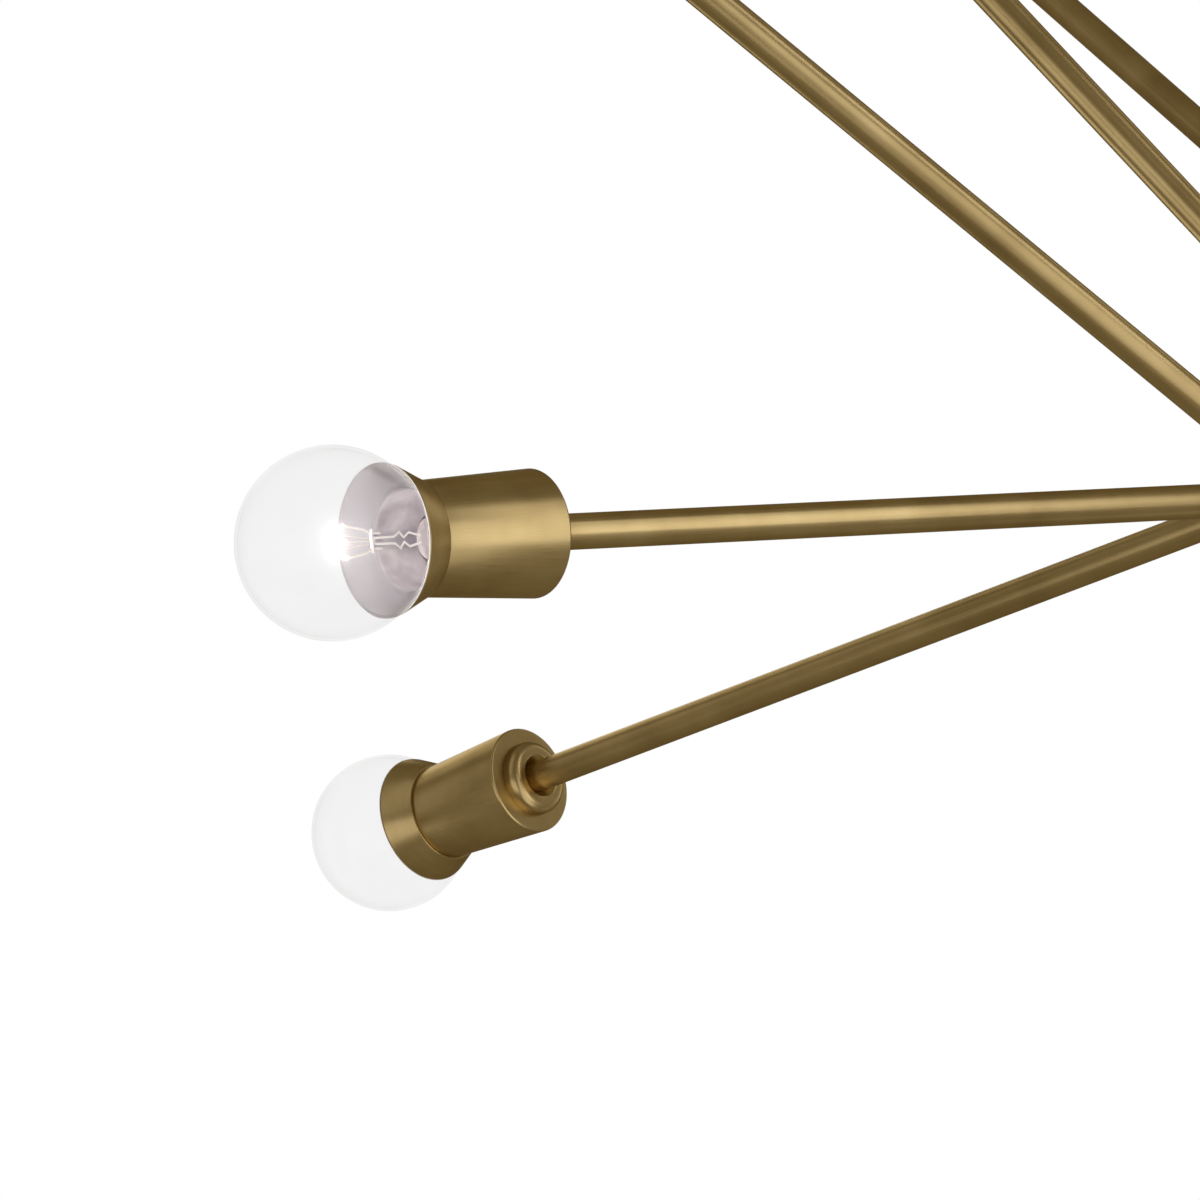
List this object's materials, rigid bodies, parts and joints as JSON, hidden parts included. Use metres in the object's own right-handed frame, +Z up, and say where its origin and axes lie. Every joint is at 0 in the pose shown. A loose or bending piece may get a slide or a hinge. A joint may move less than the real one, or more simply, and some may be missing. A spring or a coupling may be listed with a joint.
{
  "type": "chandelier",
  "caption": "Starburst chandelier: straight satin-brass arms fan from a hub column to flared cups with clear globe lamps, hung on a stem with a hang-straight swivel and a ceiling canopy.",
  "frame": {"origin": "on the ceiling plane, at the centre of the mounting bar's two screw slots", "axes": "+Z up into the ceiling; the stem hangs down along -Z; the picture looks roughly along +Y with +X to the right"},
  "size_m": [0.7934, 0.7486, 0.6304],
  "materials": {
    "satin_brass": "satin antique brass with fine lengthwise brushing",
    "zinc_steel": "zinc plated",
    "green_screw": "green earth screw",
    "insulator": "pale moulded insulator",
    "contact_brass": "bright",
    "clear_glass": "clear blown glass",
    "lamp_base": "plated screw base"
  },
  "bodies": {
    "ceiling_set": {"mounting_bar": "zinc_steel", "earth_screw": "green_screw", "nipple": "zinc_steel", "nipple_locknut": "zinc_steel", "canopy": "satin_brass", "canopy_collar": "satin_brass", "swivel_nut": "zinc_steel"},
    "swivel": {"swivel_yoke": "satin_brass", "swivel_pin": "satin_brass"},
    "fixture": {"swivel_tongue": "satin_brass", "upper_stem": "satin_brass", "stem_coupling": "satin_brass", "lower_stem": "satin_brass", "hub": "satin_brass", "hub_cap": "satin_brass", "arm_set_screws": "zinc_steel", "arm_1": "satin_brass", "arm_2": "satin_brass", "arm_3": "satin_brass", "arm_4": "satin_brass", "arm_5": "satin_brass", "arm_6": "satin_brass", "arm_7": "satin_brass", "arm_8": "satin_brass", "arm_9": "satin_brass", "arm_10": "satin_brass", "cup_1": "satin_brass", "cup_2": "satin_brass", "cup_3": "satin_brass", "cup_4": "satin_brass", "cup_5": "satin_brass", "cup_6": "satin_brass", "cup_7": "satin_brass", "cup_8": "satin_brass", "cup_9": "satin_brass", "cup_10": "satin_brass", "cup_rings": "satin_brass", "cup_bosses": "satin_brass", "lampholders": "insulator", "lamp_contacts": "contact_brass"},
    "lamp_1": {"lamp_1_globe": "clear_glass", "lamp_1_base": "lamp_base"},
    "lamp_2": {"lamp_2_globe": "clear_glass", "lamp_2_base": "lamp_base"},
    "lamp_3": {"lamp_3_globe": "clear_glass", "lamp_3_base": "lamp_base"},
    "lamp_4": {"lamp_4_globe": "clear_glass", "lamp_4_base": "lamp_base"},
    "lamp_5": {"lamp_5_globe": "clear_glass", "lamp_5_base": "lamp_base"},
    "lamp_6": {"lamp_6_globe": "clear_glass", "lamp_6_base": "lamp_base"},
    "lamp_7": {"lamp_7_globe": "clear_glass", "lamp_7_base": "lamp_base"},
    "lamp_8": {"lamp_8_globe": "clear_glass", "lamp_8_base": "lamp_base"},
    "lamp_9": {"lamp_9_globe": "clear_glass", "lamp_9_base": "lamp_base"},
    "lamp_10": {"lamp_10_globe": "clear_glass", "lamp_10_base": "lamp_base"}
  },
  "joints": [
    {"name": "swivel_turn", "type": "hinge", "parent": "ceiling_set", "child": "swivel", "pos_m": [0, 0, -0.0517], "axis": [0, 0, 1], "range_deg": [-170, 170]},
    {"name": "stem_tilt", "type": "hinge", "parent": "swivel", "child": "fixture", "pos_m": [0, 0, -0.0517], "axis": [1, 0, 0], "range_deg": [-25, 25]},
    {"name": "lamp_1_unscrew", "type": "slide", "parent": "fixture", "child": "lamp_1", "axis": [-0.7942, -0.5877, -0.1547], "range_m": [0, 0.045]},
    {"name": "lamp_2_unscrew", "type": "slide", "parent": "fixture", "child": "lamp_2", "axis": [-0.7071, 0.69, -0.1547], "range_m": [0, 0.045]},
    {"name": "lamp_3_unscrew", "type": "slide", "parent": "fixture", "child": "lamp_3", "axis": [-0.7669, -0.2791, 0.5779], "range_m": [0, 0.045]},
    {"name": "lamp_4_unscrew", "type": "slide", "parent": "fixture", "child": "lamp_4", "axis": [-0.6678, 0, 0.7443], "range_m": [0, 0.045]},
    {"name": "lamp_5_unscrew", "type": "slide", "parent": "fixture", "child": "lamp_5", "axis": [-0.3832, 0.7206, 0.5779], "range_m": [0, 0.045]},
    {"name": "lamp_6_unscrew", "type": "slide", "parent": "fixture", "child": "lamp_6", "axis": [0.7942, 0.5877, -0.1547], "range_m": [0, 0.045]},
    {"name": "lamp_7_unscrew", "type": "slide", "parent": "fixture", "child": "lamp_7", "axis": [0.7071, -0.69, -0.1547], "range_m": [0, 0.045]},
    {"name": "lamp_8_unscrew", "type": "slide", "parent": "fixture", "child": "lamp_8", "axis": [0.7669, 0.2791, 0.5779], "range_m": [0, 0.045]},
    {"name": "lamp_9_unscrew", "type": "slide", "parent": "fixture", "child": "lamp_9", "axis": [0.6678, 0, 0.7443], "range_m": [0, 0.045]},
    {"name": "lamp_10_unscrew", "type": "slide", "parent": "fixture", "child": "lamp_10", "axis": [0.3832, -0.7206, 0.5779], "range_m": [0, 0.045]}
  ]
}
